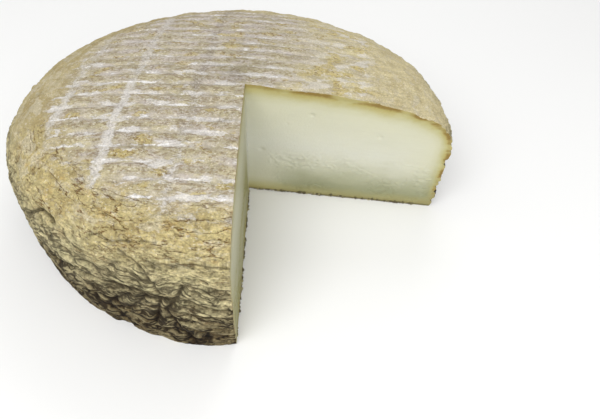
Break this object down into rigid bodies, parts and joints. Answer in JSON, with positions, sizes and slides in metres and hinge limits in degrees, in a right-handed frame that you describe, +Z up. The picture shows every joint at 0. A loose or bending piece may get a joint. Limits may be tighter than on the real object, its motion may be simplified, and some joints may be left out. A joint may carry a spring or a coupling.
{
  "type": "cheese wheel",
  "caption": "Small round ripened cheese wheel with a domed rack-marked rind and a wrinkled side, lying flat with a quarter cut out of it.",
  "frame": {"origin": "centre of the wheel's flat base, on its axis and on the surface that it rests on", "axes": "+Z up along the wheel's axis; the open quarter lies between +X and -Y, with one cut face almost along +X and the other almost along -Y"},
  "size_m": [0.1997, 0.1997, 0.0611],
  "materials": {
    "rind": "dry, dull, wrinkled straw-coloured rind with whitish mould along the rack marks",
    "paste": "smooth, slightly moist cut cheese, pale cream with a green cast, darker just under the rind"
  },
  "bodies": {
    "root": {"cheese_wheel": "rind"}
  },
  "joints": []
}
